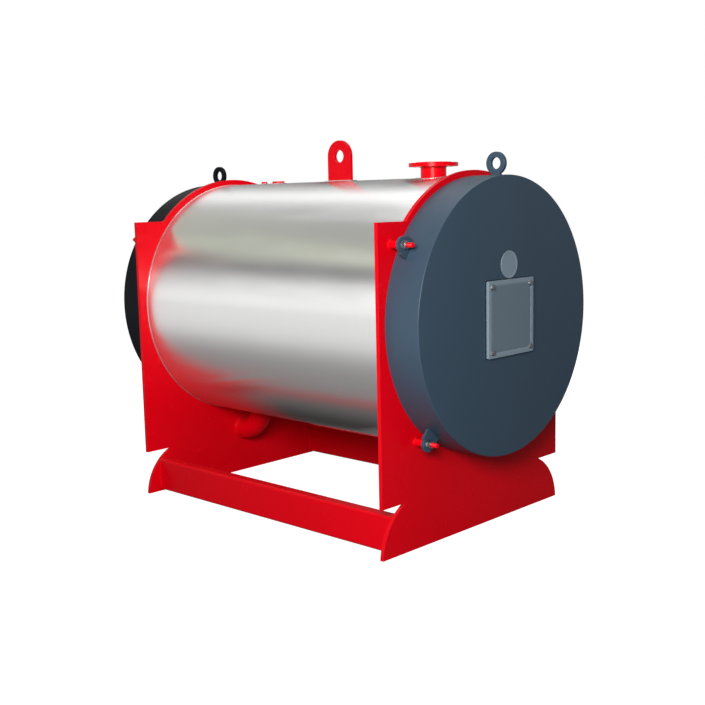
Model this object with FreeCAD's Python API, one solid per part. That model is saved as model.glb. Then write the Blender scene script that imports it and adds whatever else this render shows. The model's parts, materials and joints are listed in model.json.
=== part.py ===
"""Horizontal fire-tube hot water boiler on a welded saddle frame.

Millimetres, +Z up, burner door facing -Y. The origin is on the floor, in the
middle of the overall width and of the overall length. Every piece is written
to parts/NODE.step, one file for each node.
"""
import FreeCAD
import Part
import math
import os

Vec = FreeCAD.Vector
X_AXIS = Vec(1, 0, 0)
Y_AXIS = Vec(0, 1, 0)
Z_AXIS = Vec(0, 0, 1)

# Pressure shell and its cladding
axis_height = 955.0         # boiler axis above the floor
shell_radius = 545.0
shell_wall = 8.0
shell_length = 1582.0       # between the inner faces of the two tube plates
insulation = 53.0           # shell's outside to the cladding's outside
jacket_radius = shell_radius + insulation
jacket_wall = 2.0
jacket_hole_clearance = 3.0

# Tube plates, which are also the saddles that the boiler stands on
plate_thickness = 18.0
plate_margin = 27.0         # round top outside the cladding
plate_radius = jacket_radius + plate_margin
shoulder_margin = 10.0      # straight sides outside the round top
plate_half_width = plate_radius + shoulder_margin
shoulder_rise = 420.0       # top of the square shoulders above the boiler axis
skirt_height = 215.0        # lower edge of the wide part
waist_step = 148.0          # where the foot leaves the wide part, in from its side
foot_radius = 250.0         # rounded flank of the foot

# Skid rails, rectangular hollow section between the plates
rail_width = 60.0
rail_height = 160.0
rail_wall = 5.0
rail_corner_radius = 12.0
rail_setback = 73.0         # outer face of each rail in from the foot's tip
rail_lift = 8.0             # rails hang this far above the floor

# Clearances between fitted pieces
curved_gap = 0.3            # between curved faces that seat on each other
nozzle_inset = 8.0          # how far a nozzle stands into the shell

# Flanged connections, nominal bore 100, pressure class 16
pipe_od = 114.3
pipe_wall = 4.5
flange_od = 220.0
flange_thickness = 20.0
flange_pcd = 180.0
flange_hole_d = 18.0
flange_hole_count = 8
supply_inset = 215.0        # supply nozzle axis behind the front plate's inner face
supply_stand = 68.0         # supply flange face above the cladding
supply_top = jacket_radius + supply_stand
return_inset = 165.0        # return nozzle axis ahead of the rear plate's inner face
return_bend_radius = 152.0
return_door_gap = 7.0       # return flange below the rear door
return_past_door = 20.0     # return flange face behind the rear door

# Threaded sockets on top, near the rear plate
vent_inset = 243.0          # ahead of the rear plate's inner face
vent_od = 30.0
vent_bore_d = 18.6
safety_inset = 350.0
safety_od = 62.0
safety_bore_d = 45.0
socket_stand = 10.0         # above the cladding

# Lifting lug in the middle of the top
lug_width = 150.0
lug_thickness = 20.0
lug_hole_d = 60.0
lug_stand = 117.0           # hole centre above the cladding
lug_hole_height = jacket_radius + lug_stand
collar_border = 14.0
collar_thickness = 3.0

# Doors: rolled rim, flat face and insulating lining
door_margin = 25.0          # round top of the plate outside the door
door_radius = plate_radius - door_margin
front_door_depth = 172.0
rear_door_depth = 175.0
door_rim_wall = 6.0
door_face_thickness = 6.0

# Lifting eyes on the door rims
eye_outer_d = 96.0
eye_hole_d = 50.0
eye_thickness = 18.0
eye_stand = 48.5            # hole centre above the rim
eye_height = door_radius + eye_stand
eye_shank_width = 40.0
front_eye_inset = 109.0     # ahead of the front plate
rear_eye_inset = 97.0       # behind the rear plate

# Door clamps: stud welded to the plate, ear on the rim, nut and washer
clamp_angles = (30.7, 149.3, 229.6, 310.4)   # degrees from +X about the axis
stud_stand = 48.0           # stud centre outside the rim
stud_circle_radius = door_radius + stud_stand
stud_d = 20.0
stud_length = 117.0
boss_d = 34.0
boss_length = 42.0
ear_thickness = 12.0
ear_width = 84.0
ear_end_radius = 34.0
ear_stand = 56.0            # plate to the ear's near face
stud_hole_clearance = 1.0
nut_across_flats = 30.0
nut_height = 16.0
washer_d = 37.0
washer_thickness = 3.0

# Burner blanking plate and sight cover on the front door
burner_plate_side = 325.0
burner_plate_thickness = 15.0
burner_plate_corner = 6.0
burner_bolt_edge = 25.0     # bolt centre from the plate's edges
burner_bolt_flats = 19.0
burner_bolt_head = 8.0
sight_cover_d = 118.0
sight_cover_stand = 61.5    # centre above the burner plate's top edge
sight_cover_thickness = 4.0

# Flue outlet on the rear door
flue_od = 250.0
flue_wall = 3.0
flue_length = 120.0
flue_height = 250.0         # above the boiler axis
flue_flange_od = 310.0
flue_flange_thickness = 6.0

# Return pipe: its flange passes just below the rear door
return_height = axis_height - door_radius - return_door_gap - flange_od / 2

# Places along Y: the overall length is centred on the origin
plate_span = shell_length + 2 * plate_thickness
front_reach = front_door_depth + burner_plate_thickness + burner_bolt_head
rear_reach = rear_door_depth + flue_length
front_plate_y = -(plate_span - front_reach + rear_reach) / 2
rear_plate_y = front_plate_y + plate_span          # outer face of the rear plate
front_inner_y = front_plate_y + plate_thickness
rear_inner_y = rear_plate_y - plate_thickness
front_door_y = front_plate_y - front_door_depth    # outer face of the front door
rear_door_y = rear_plate_y + rear_door_depth       # outer face of the rear door
middle_y = (front_plate_y + rear_plate_y) / 2


def at_axis(x, y, height):
    """Point at a height measured from the boiler axis."""
    return Vec(x, y, axis_height + height)


def disc(radius, y_from, y_to):
    """Solid cylinder on the boiler axis between two places along Y."""
    return Part.makeCylinder(radius, y_to - y_from, at_axis(0, y_from, 0), Y_AXIS)


def ring(outer, inner, y_from, y_to):
    """Tube on the boiler axis between two places along Y."""
    return disc(outer, y_from, y_to).cut(disc(inner, y_from, y_to))


def box(x_from, x_to, y_from, y_to, z_from, z_to):
    """Axis-aligned block from its limits."""
    corner = Vec(x_from, y_from, z_from)
    return Part.makeBox(x_to - x_from, y_to - y_from, z_to - z_from, corner)


def bored(outer_radius, inner_radius, length, start, direction):
    """Pipe stretch from a start point along a direction."""
    outer = Part.makeCylinder(outer_radius, length, start, direction)
    return outer.cut(Part.makeCylinder(inner_radius, length, start, direction))


def arc_through(a, b, radius):
    """Arc from a to b of the given radius, bulging towards +X or -X and up."""
    middle = (a + b) * 0.5
    half = (b - a).Length / 2
    sideways = (b - a).cross(Y_AXIS)
    sideways.normalize()
    if sideways.z < 0:
        sideways = sideways * -1
    rise = radius - math.sqrt(radius ** 2 - half ** 2)
    return Part.Arc(a, middle + sideways * rise, b).toShape()


def plate_profile(y):
    """Closed outline of a tube plate with its shoulders, skirt and foot."""
    reach = math.sqrt(plate_radius ** 2 - shoulder_rise ** 2)
    shoulder_z = axis_height + shoulder_rise

    def corners(side):
        return [Vec(side * reach, y, shoulder_z),
                Vec(side * plate_half_width, y, shoulder_z),
                Vec(side * plate_half_width, y, skirt_height),
                Vec(side * (plate_half_width - waist_step), y, skirt_height),
                Vec(side * plate_half_width, y, 0)]

    left, right = corners(-1), corners(1)
    top = Part.Arc(left[0], at_axis(0, y, plate_radius), right[0]).toShape()
    edges = [top]
    for side in (left, right):
        edges += [Part.makeLine(a, b) for a, b in zip(side[:3], side[1:4])]
        edges.append(arc_through(side[3], side[4], foot_radius))
    edges.append(Part.makeLine(left[4], right[4]))
    return Part.Wire(Part.__sortEdges__(edges))


def tube_plate(y):
    """Plate standing on the floor, from y backwards."""
    return Part.Face(plate_profile(y)).extrude(Y_AXIS * plate_thickness)


def rear_plate():
    """Rear plate with the passage for the return pipe."""
    hole = Part.makeCylinder(pipe_od / 2 + curved_gap, plate_thickness,
                             Vec(0, rear_inner_y, return_height), Y_AXIS)
    return tube_plate(rear_inner_y).cut(hole)


def rounded_bar(x_mid, width, height, radius, z_from):
    """Bar between the plates with a rounded rectangular section."""
    bar = box(x_mid - width / 2, x_mid + width / 2, front_inner_y, rear_inner_y,
              z_from, z_from + height)
    long_edges = [e for e in bar.Edges if abs(e.tangentAt(e.FirstParameter).y) > 0.9]
    return bar.makeFillet(radius, long_edges)


def rail(side):
    """Hollow skid rail on one side of the frame."""
    x_mid = side * (plate_half_width - rail_setback - rail_width / 2)
    outer = rounded_bar(x_mid, rail_width, rail_height, rail_corner_radius, rail_lift)
    inner = rounded_bar(x_mid, rail_width - 2 * rail_wall, rail_height - 2 * rail_wall,
                        rail_corner_radius - rail_wall, rail_lift + rail_wall)
    return outer.cut(inner)


supply_y = front_inner_y + supply_inset
return_y = rear_inner_y - return_inset
vent_y = rear_inner_y - vent_inset
safety_y = rear_inner_y - safety_inset
nozzle_foot = shell_radius - shell_wall - nozzle_inset


def top_passages(clearance):
    """Cylinders through the shell top for the nozzle and the two sockets."""
    sizes = ((pipe_od, supply_y), (vent_od, vent_y), (safety_od, safety_y))
    return [Part.makeCylinder(d / 2 + clearance, axis_height, at_axis(0, y, 0), Z_AXIS)
            for d, y in sizes]


def bend_lean(height):
    """How far the return bend has swung backwards at a height below its start."""
    drop = max(0.0, return_height + return_bend_radius - height)
    return return_bend_radius - math.sqrt(return_bend_radius ** 2 - drop ** 2)


def bottom_passage(clearance):
    """Cylinder through the shell bottom for the return nozzle."""
    return Part.makeCylinder(pipe_od / 2 + clearance, axis_height,
                             at_axis(0, return_y, 0), Z_AXIS * -1)


def pressure_shell():
    """Rolled shell between the plates, bored for its nozzles."""
    shell = ring(shell_radius, shell_radius - shell_wall, front_inner_y, rear_inner_y)
    for passage in top_passages(curved_gap) + [bottom_passage(curved_gap)]:
        shell = shell.cut(passage)
    return shell


def jacket():
    """Thin cladding round the insulation, cut out for all that stands through it."""
    skin = ring(jacket_radius, jacket_radius - jacket_wall, front_inner_y, rear_inner_y)
    gap = jacket_hole_clearance
    slot = box(-lug_thickness / 2 - gap, lug_thickness / 2 + gap,
               middle_y - lug_width / 2 - gap, middle_y + lug_width / 2 + gap,
               axis_height, axis_height + jacket_radius)
    lean = bend_lean(axis_height - jacket_radius)
    for passage in top_passages(gap) + [bottom_passage(gap + lean), slot]:
        skin = skin.cut(passage)
    return skin


def supply_neck():
    """Supply pipe from inside the shell up to the flange."""
    length = supply_top - flange_thickness - nozzle_foot
    return bored(pipe_od / 2, pipe_od / 2 - pipe_wall, length,
                 at_axis(0, supply_y, nozzle_foot), Z_AXIS)


def flange(centre, direction):
    """Flange whose mating face is at the centre, facing the direction."""
    start = centre - direction * flange_thickness
    body = bored(flange_od / 2, pipe_od / 2 - pipe_wall, flange_thickness, start, direction)
    across = X_AXIS
    for i in range(flange_hole_count):
        turn = FreeCAD.Rotation(direction, 360.0 * (i + 0.5) / flange_hole_count)
        place = start + turn.multVec(across) * (flange_pcd / 2)
        body = body.cut(Part.makeCylinder(flange_hole_d / 2, flange_thickness, place, direction))
    return body


def supply_flange():
    """Supply flange, facing up."""
    return flange(at_axis(0, supply_y, supply_top), Z_AXIS)


return_face_y = rear_door_y + return_past_door
return_flange_y = return_face_y - flange_thickness


def return_pipe():
    """Return pipe: down out of the shell, round the bend and out through the plate."""
    top = at_axis(0, return_y, -nozzle_foot)
    bend_top = Vec(0, return_y, return_height + return_bend_radius)
    bend_end = Vec(0, return_y + return_bend_radius, return_height)
    corner = math.radians(45)
    bend_mid = Vec(0, return_y + return_bend_radius * (1 - math.cos(corner)),
                   return_height + return_bend_radius * (1 - math.sin(corner)))
    route = Part.Wire([Part.makeLine(top, bend_top),
                       Part.Arc(bend_top, bend_mid, bend_end).toShape(),
                       Part.makeLine(bend_end, Vec(0, return_flange_y, return_height))])

    def sweep(radius):
        section = Part.Wire([Part.makeCircle(radius, top, Z_AXIS)])
        return route.makePipeShell([section], True, False)

    return sweep(pipe_od / 2).cut(sweep(pipe_od / 2 - pipe_wall))


def return_flange():
    """Return flange, facing backwards past the rear door."""
    return flange(Vec(0, return_face_y, return_height), Y_AXIS)


def socket(outer_d, bore_d, y):
    """Threaded socket through the shell, standing a little above the cladding."""
    length = jacket_radius + socket_stand - nozzle_foot
    return bored(outer_d / 2, bore_d / 2, length, at_axis(0, y, nozzle_foot), Z_AXIS)


def lifting_lug():
    """Lug plate welded to the shell, with a round head and its hole."""
    foot = shell_radius + curved_gap
    x = lug_thickness / 2
    straight = box(-x, x, middle_y - lug_width / 2, middle_y + lug_width / 2,
                   axis_height + foot, axis_height + lug_hole_height)
    centre = at_axis(-x, middle_y, lug_hole_height)
    head = Part.makeCylinder(lug_width / 2, lug_thickness, centre, X_AXIS)
    hole = Part.makeCylinder(lug_hole_d / 2, lug_thickness, centre, X_AXIS)
    return straight.fuse(head).cut(hole).removeSplitter()


def lug_collar():
    """Trim frame on the cladding round the lug's foot."""
    z_from = axis_height + jacket_radius + curved_gap
    z_to = z_from + collar_thickness

    def slab(border):
        x, y = lug_thickness / 2 + border, lug_width / 2 + border
        return box(-x, x, middle_y - y, middle_y + y, z_from, z_to)

    return slab(collar_border).cut(slab(curved_gap))


def door_rim(y_from, y_to):
    """Rolled rim of a door."""
    return ring(door_radius, door_radius - door_rim_wall, y_from, y_to)


def door_lining(y_from, y_to):
    """Insulation that fills a door."""
    return disc(door_radius - door_rim_wall - curved_gap, y_from, y_to)


def flue_bore(y_from, y_to):
    """Clear passage of the flue outlet."""
    radius = flue_od / 2 - flue_wall
    return Part.makeCylinder(radius, y_to - y_from, at_axis(0, y_from, flue_height), Y_AXIS)


def rear_face():
    """Back plate of the rear door, open at the flue outlet."""
    y_from = rear_door_y - door_face_thickness
    return disc(door_radius, y_from, rear_door_y).cut(flue_bore(y_from, rear_door_y))


def rear_lining():
    """Rear insulation, hollowed out behind the flue outlet."""
    y_to = rear_door_y - door_face_thickness
    return door_lining(rear_plate_y, y_to).cut(flue_bore(rear_plate_y, y_to))


def flue_spigot():
    """Flue spigot with the ring that it is bolted on by."""
    start = at_axis(0, rear_door_y, flue_height)
    inner = flue_od / 2 - flue_wall
    tube = bored(flue_od / 2, inner, flue_length, start, Y_AXIS)
    plate = bored(flue_flange_od / 2, inner, flue_flange_thickness, start, Y_AXIS)
    return tube.fuse(plate).removeSplitter()


def door_eye(y):
    """Lifting eye standing on a door rim, in the boiler's middle plane."""
    x = eye_thickness / 2
    centre = at_axis(-x, y, eye_height)
    head = Part.makeCylinder(eye_outer_d / 2, eye_thickness, centre, X_AXIS)
    shank = box(-x, x, y - eye_shank_width / 2, y + eye_shank_width / 2,
                axis_height + door_radius - eye_thickness, axis_height + eye_height)
    hole = Part.makeCylinder(eye_hole_d / 2, eye_thickness, centre, X_AXIS)
    under = disc(door_radius + curved_gap, y - eye_outer_d, y + eye_outer_d)
    return head.fuse(shank).cut(hole).cut(under).removeSplitter()


def clamp_point(angle, radius, y):
    """Point at an angle and radius about the boiler axis."""
    turn = math.radians(angle)
    return at_axis(radius * math.cos(turn), y, radius * math.sin(turn))


def clamp_stud(angle, plate_y, out):
    """Welded boss and threaded stud, standing out from a plate (out is -1 or 1)."""
    start = clamp_point(angle, stud_circle_radius, plate_y)
    boss = Part.makeCylinder(boss_d / 2, boss_length, start, Y_AXIS * out)
    stud = Part.makeCylinder(stud_d / 2, stud_length, start, Y_AXIS * out)
    return boss.fuse(stud).removeSplitter()


def clamp_ear(angle, plate_y, out):
    """Ear on the door rim that the stud goes through."""
    near = min(plate_y + out * ear_stand, plate_y + out * (ear_stand + ear_thickness))
    head = Part.makeCylinder(ear_end_radius, ear_thickness,
                             clamp_point(angle, stud_circle_radius, near), Y_AXIS)
    root = box(door_radius - ear_thickness, stud_circle_radius, near, near + ear_thickness,
               axis_height - ear_width / 2, axis_height + ear_width / 2)
    root.rotate(at_axis(0, 0, 0), Y_AXIS, -angle)
    hole = Part.makeCylinder(stud_d / 2 + stud_hole_clearance, ear_thickness,
                             clamp_point(angle, stud_circle_radius, near), Y_AXIS)
    rim = disc(door_radius + curved_gap, near, near + ear_thickness)
    return head.fuse(root).cut(hole).cut(rim).removeSplitter()


def hexagon(flats, height, centre, direction):
    """Hexagonal prism from a centre along a direction."""
    across = flats / math.sqrt(3)
    side = X_AXIS
    corners = [centre + FreeCAD.Rotation(direction, 60.0 * i).multVec(side) * across
               for i in range(7)]
    return Part.Face(Part.makePolygon(corners)).extrude(direction * height)


def clamp_nut(angle, plate_y, out):
    """Washer and nut that hold an ear on its stud."""
    seat = plate_y + out * (ear_stand + ear_thickness)
    centre = clamp_point(angle, stud_circle_radius, seat)
    direction = Y_AXIS * out
    washer = Part.makeCylinder(washer_d / 2, washer_thickness, centre, direction)
    nut = hexagon(nut_across_flats, nut_height, centre + direction * washer_thickness, direction)
    hole = Part.makeCylinder(stud_d / 2 + curved_gap, nut_height + washer_thickness,
                             centre, direction)
    return washer.fuse(nut).cut(hole)


def burner_plate():
    """Square blanking plate on the burner opening."""
    half = burner_plate_side / 2
    plate = box(-half, half, front_door_y - burner_plate_thickness, front_door_y,
                axis_height - half, axis_height + half)
    corners = [e for e in plate.Edges if abs(e.tangentAt(e.FirstParameter).y) > 0.9]
    return plate.makeFillet(burner_plate_corner, corners)


def burner_bolts():
    """Bolt heads in the blanking plate's corners."""
    reach = burner_plate_side / 2 - burner_bolt_edge
    y = front_door_y - burner_plate_thickness
    places = [at_axis(sx * reach, y, sz * reach) for sx in (-1, 1) for sz in (-1, 1)]
    heads = [hexagon(burner_bolt_flats, burner_bolt_head, p, Y_AXIS * -1) for p in places]
    return Part.makeCompound(heads)


def sight_cover():
    """Round cover above the burner plate."""
    height = burner_plate_side / 2 + sight_cover_stand
    start = at_axis(0, front_door_y - sight_cover_thickness, height)
    return Part.makeCylinder(sight_cover_d / 2, sight_cover_thickness, start, Y_AXIS)


def door_clamps(name, plate_y, out):
    """Nodes of the four clamps of one door."""
    nodes = {name + "_studs": Part.makeCompound(
        [clamp_stud(angle, plate_y, out) for angle in clamp_angles])}
    for i, angle in enumerate(clamp_angles, 1):
        nodes["%s_ear_%d" % (name, i)] = clamp_ear(angle, plate_y, out)
        nodes["%s_nut_%d" % (name, i)] = clamp_nut(angle, plate_y, out)
    return nodes


def all_nodes():
    """Every node of the part by its name."""
    front_face_y = front_door_y + door_face_thickness
    rear_face_y = rear_door_y - door_face_thickness
    nodes = {
        "front_tube_plate": tube_plate(front_plate_y),
        "rear_tube_plate": rear_plate(),
        "left_rail": rail(-1),
        "right_rail": rail(1),
        "pressure_shell": pressure_shell(),
        "jacket": jacket(),
        "supply_neck": supply_neck(),
        "supply_flange": supply_flange(),
        "return_pipe": return_pipe(),
        "return_flange": return_flange(),
        "vent_socket": socket(vent_od, vent_bore_d, vent_y),
        "safety_socket": socket(safety_od, safety_bore_d, safety_y),
        "lifting_lug": lifting_lug(),
        "lug_collar": lug_collar(),
        "front_door_rim": door_rim(front_face_y, front_plate_y),
        "front_door_face": disc(door_radius, front_door_y, front_face_y),
        "front_door_lining": door_lining(front_face_y, front_plate_y),
        "front_door_eye": door_eye(front_plate_y - front_eye_inset),
        "burner_plate": burner_plate(),
        "burner_plate_bolts": burner_bolts(),
        "sight_cover": sight_cover(),
        "rear_door_rim": door_rim(rear_plate_y, rear_face_y),
        "rear_door_face": rear_face(),
        "rear_door_lining": rear_lining(),
        "rear_door_eye": door_eye(rear_plate_y + rear_eye_inset),
        "flue_spigot": flue_spigot(),
    }
    nodes.update(door_clamps("front", front_plate_y, -1))
    nodes.update(door_clamps("rear", rear_plate_y, 1))
    return nodes


def main():
    """Write one STEP file for each node."""
    os.makedirs("parts", exist_ok=True)
    for name, shape in all_nodes().items():
        shape.exportStep("parts/%s.step" % name)
        print("%-20s %2d solid %12.0f mm3 valid %s"
              % (name, len(shape.Solids), shape.Volume, shape.isValid()))


main()
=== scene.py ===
"""Looks of a horizontal fire-tube hot water boiler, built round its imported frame.

Metres, +Z up, burner door facing -Y, the origin on the floor in the middle of the
overall width and length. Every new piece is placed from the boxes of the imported
nodes, so it follows them if their sizes change.
"""
import json
import logging
import math
from dataclasses import dataclass
from enum import Enum
from functools import cache
from typing import Callable, Optional, Sequence

import bmesh
import bpy
from mathutils import Euler, Matrix, Vector


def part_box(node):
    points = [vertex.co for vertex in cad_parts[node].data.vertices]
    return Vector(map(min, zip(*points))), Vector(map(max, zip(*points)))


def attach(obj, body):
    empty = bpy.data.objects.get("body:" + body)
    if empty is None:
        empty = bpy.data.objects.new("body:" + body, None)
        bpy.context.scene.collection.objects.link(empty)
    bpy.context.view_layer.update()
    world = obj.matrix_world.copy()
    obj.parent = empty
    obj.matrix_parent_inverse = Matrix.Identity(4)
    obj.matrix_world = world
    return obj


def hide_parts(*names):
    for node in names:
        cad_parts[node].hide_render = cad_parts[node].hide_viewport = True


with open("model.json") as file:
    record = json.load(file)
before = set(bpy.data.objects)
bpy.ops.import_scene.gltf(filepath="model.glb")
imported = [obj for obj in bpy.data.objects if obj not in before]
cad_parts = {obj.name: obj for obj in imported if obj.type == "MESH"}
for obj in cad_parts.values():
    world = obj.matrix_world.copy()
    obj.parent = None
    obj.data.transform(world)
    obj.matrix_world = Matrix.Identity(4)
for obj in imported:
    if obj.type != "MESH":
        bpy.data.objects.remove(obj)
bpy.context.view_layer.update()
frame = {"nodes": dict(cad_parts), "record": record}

LOG = logging.getLogger("boiler")
Colour = tuple[float, float, float]
PlaceTest = Callable[[Vector], bool]
WayTest = Callable[[Vector, Vector], bool]
X_AXIS = Vector((1, 0, 0))
Y_AXIS = Vector((0, 1, 0))
Z_AXIS = Vector((0, 0, 1))
MM = 0.001
MERGE = 0.01 * MM
NEAR = 0.1 * MM
ALONG = 0.99
FACING = 0.9
FULL_ROUND = 256
FLAT_ANGLE = math.radians(0.4)
DUST = (0.55, 0.52, 0.48)


class Slot(Enum):
    """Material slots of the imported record."""

    RED_PAINT = "red_paint"
    CLADDING = "cladding"
    DOOR_PAINT = "door_paint"
    BLACK_PAINT = "black_paint"
    PLATE_GREY = "plate_grey"
    ZINC = "zinc_plated"
    INSULATION = "insulation"


class End(Enum):
    """The two ends of the boiler, with the way each one faces along Y."""

    FRONT = -1
    REAR = 1

    @property
    def label(self) -> str:
        """Word that starts the names of this end's nodes."""
        return self.name.lower()

    @property
    def outward(self) -> Vector:
        """Unit vector that points out of the boiler at this end."""
        return Y_AXIS * self.value


def midplane(y: float, z: float) -> Vector:
    """Point on the plane between the boiler's left and right halves."""
    return Vector((0, y, z))


@dataclass(frozen=True)
class Extent:
    """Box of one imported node."""

    low: Vector
    high: Vector

    @classmethod
    def of(cls, node: str) -> "Extent":
        """Box of a node by its name.

        Args:
            node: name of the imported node.

        Returns:
            The node's box at rest.
        """
        low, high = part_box(node)
        return cls(low, high)

    @property
    def centre(self) -> Vector:
        """Middle of the box."""
        return (self.low + self.high) / 2

    @property
    def size(self) -> Vector:
        """Edge lengths of the box."""
        return self.high - self.low

    def outer(self, end: End) -> float:
        """Y of the side that faces out at one end of the boiler."""
        return self.low.y if end is End.FRONT else self.high.y

    def inner(self, end: End) -> float:
        """Y of the side that faces the boiler's middle."""
        return self.high.y if end is End.FRONT else self.low.y


# --------------------------------------------------------------------------- handwork


class Bench:
    """One mesh on the work bench, shaped with edit-mode tools."""

    def __init__(self, piece: bpy.types.Object) -> None:
        self.piece = piece

    @staticmethod
    def clear() -> None:
        """Leave nothing selected."""
        if bpy.context.mode != "OBJECT":
            bpy.ops.object.mode_set(mode="OBJECT")
        bpy.ops.object.select_all(action="DESELECT")

    @classmethod
    def _take(cls, name: str) -> "Bench":
        """Name the new primitive and put its place into its mesh.

        Args:
            name: name of the piece.

        Returns:
            The bench with the primitive.
        """
        piece = bpy.context.active_object
        piece.name = name
        piece.data.name = name
        bpy.ops.object.transform_apply(location=True, rotation=True, scale=True)
        return cls(piece)

    @staticmethod
    def _turn(axis: Vector) -> Euler:
        """Turn that lays +Z along an axis."""
        return axis.to_track_quat("Z", "Y").to_euler()

    @classmethod
    def cylinder(cls, name: str, radius: float, start: Vector, end: Vector,
                 sides: int = 96) -> "Bench":
        """Add a cylinder between two points.

        Args:
            name: name of the piece.
            radius: radius of the cylinder.
            start: centre of one end.
            end: centre of the other end.
            sides: number of flat sides.

        Returns:
            The bench with the new piece.
        """
        cls.clear()
        axis = end - start
        bpy.ops.mesh.primitive_cylinder_add(
            vertices=sides, radius=radius, depth=axis.length, end_fill_type="NGON",
            location=(start + end) / 2, rotation=cls._turn(axis))
        return cls._take(name)

    @classmethod
    def block(cls, name: str, low: Vector, high: Vector) -> "Bench":
        """Add a block between two corners.

        Args:
            name: name of the piece.
            low: its lowest corner.
            high: its highest corner.

        Returns:
            The bench with the new piece.
        """
        cls.clear()
        bpy.ops.mesh.primitive_cube_add(size=1, location=(low + high) / 2,
                                        scale=high - low)
        return cls._take(name)

    @classmethod
    def torus(cls, name: str, centre: Vector, axis: Vector, major: float, minor: float,
              steps: int = 96, sides: int = 10) -> "Bench":
        """Add a ring of round section.

        Args:
            name: name of the piece.
            centre: centre of the ring.
            axis: axis of the ring.
            major: radius of the ring's middle line.
            minor: radius of its section.
            steps: divisions round the ring.
            sides: divisions round the section.

        Returns:
            The bench with the new piece.
        """
        cls.clear()
        bpy.ops.mesh.primitive_torus_add(
            location=centre, rotation=cls._turn(axis), major_radius=major,
            minor_radius=minor, major_segments=steps, minor_segments=sides)
        return cls._take(name)

    @classmethod
    def copy_of_node(cls, node: str, name: str) -> "Bench":
        """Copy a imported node's mesh, merged and with its flat faces made whole.

        Args:
            node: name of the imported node.
            name: name of the new piece.

        Returns:
            The bench with the copy.
        """
        cls.clear()
        mesh = frame["nodes"][node].data.copy()
        mesh.name = name
        mesh.materials.clear()
        piece = bpy.data.objects.new(name, mesh)
        bpy.context.scene.collection.objects.link(piece)
        bench = cls(piece)
        bench.edit()
        bpy.ops.mesh.customdata_custom_splitnormals_clear()
        bpy.ops.mesh.select_all(action="SELECT")
        bpy.ops.mesh.remove_doubles(threshold=MERGE)
        bpy.ops.mesh.dissolve_limited(angle_limit=FLAT_ANGLE)
        bench.done()
        return bench

    def copy(self, name: str, place: Matrix) -> "Bench":
        """Copy the piece, with its own mesh, to another place.

        Args:
            name: name of the copy.
            place: where it goes, from where the piece is.

        Returns:
            The bench with the copy.
        """
        mesh = self.piece.data.copy()
        mesh.name = name
        mesh.transform(place)
        if place.determinant() < 0:
            mesh.flip_normals()
        piece = bpy.data.objects.new(name, mesh)
        bpy.context.scene.collection.objects.link(piece)
        return Bench(piece)

    def activate(self) -> None:
        """Make this the one piece selected, and the active one."""
        self.clear()
        self.piece.select_set(True)
        bpy.context.view_layer.objects.active = self.piece

    def edit(self) -> None:
        """Open the piece in edit mode."""
        self.activate()
        bpy.ops.object.mode_set(mode="EDIT")

    def done(self) -> None:
        """Leave edit mode."""
        bpy.ops.object.mode_set(mode="OBJECT")

    def _pick(self, kind: str, test: Callable[[object], bool]) -> None:
        """Select the elements of one kind that pass a test, and nothing else.

        Args:
            kind: VERT, EDGE or FACE.
            test: says of an element whether it is wanted.
        """
        bpy.ops.mesh.select_mode(type=kind)
        bpy.ops.mesh.select_all(action="DESELECT")
        mesh = bmesh.from_edit_mesh(self.piece.data)
        for element in {"VERT": mesh.verts, "EDGE": mesh.edges, "FACE": mesh.faces}[kind]:
            element.select_set(bool(test(element)))
        mesh.select_flush_mode()
        bmesh.update_edit_mesh(self.piece.data)

    def pick_faces(self, test: WayTest) -> None:
        """Select the faces that pass a test of their centre and normal."""
        self._pick("FACE", lambda face: test(face.calc_center_median(), face.normal))

    def pick_edges(self, test: WayTest) -> None:
        """Select the edges that pass a test of their middle and unit direction."""

        def passes(edge: bmesh.types.BMEdge) -> bool:
            """Put one edge to the test."""
            first, second = (vert.co for vert in edge.verts)
            return test((first + second) / 2, (second - first).normalized())

        self._pick("EDGE", passes)

    def pick_verts(self, test: PlaceTest) -> None:
        """Select the vertices that pass a test of their place."""
        self._pick("VERT", lambda vert: test(vert.co))

    def pick_end(self, end: Vector, out: Vector) -> None:
        """Select the edges round the end of a cylinder.

        Args:
            end: centre of that end.
            out: unit direction that it faces.
        """
        self.pick_edges(lambda middle, way: (middle - end).dot(out) > -NEAR)

    def open_ends(self) -> None:
        """Delete the faces that look along the boiler, in edit mode."""
        self.pick_faces(lambda centre, normal: abs(normal.y) > FACING)
        bpy.ops.mesh.delete(type="FACE")

    def divide_along(self, axis: Vector, cuts: int) -> None:
        """Divide every edge that runs along an axis.

        Args:
            axis: unit direction of the edges.
            cuts: number of cuts in each.
        """
        self.pick_along(axis)
        bpy.ops.mesh.subdivide(number_cuts=cuts)

    def swell(self, test: PlaceTest, amount: float) -> None:
        """Push the vertices that pass a test out along their normals.

        Args:
            test: says of a place whether the vertex is wanted.
            amount: how far, negative for inwards.
        """
        self.pick_verts(test)
        bpy.ops.transform.shrink_fatten(value=amount)

    def pick_facing(self, way: Vector, least: float = FACING) -> None:
        """Select the faces that look in a direction."""
        self.pick_faces(lambda centre, normal: normal.dot(way) > least)

    def pick_along(self, axis: Vector) -> None:
        """Select the edges that run along an axis."""
        self.pick_edges(lambda middle, way: abs(way.dot(axis)) > FACING)

    @staticmethod
    def inset(width: float, depth: float = 0.0) -> None:
        """Inset the selected faces, and raise or sink what they enclose."""
        bpy.ops.mesh.inset(thickness=width, depth=depth)

    @staticmethod
    def extrude(way: Vector) -> None:
        """Extrude the selected faces."""
        bpy.ops.mesh.extrude_region_move(TRANSFORM_OT_translate={"value": way})

    @staticmethod
    def bevel(width: float, segments: int = 2) -> None:
        """Bevel what is selected."""
        bpy.ops.mesh.bevel(offset=width, segments=segments, profile=0.5, affect="EDGES")

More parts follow.
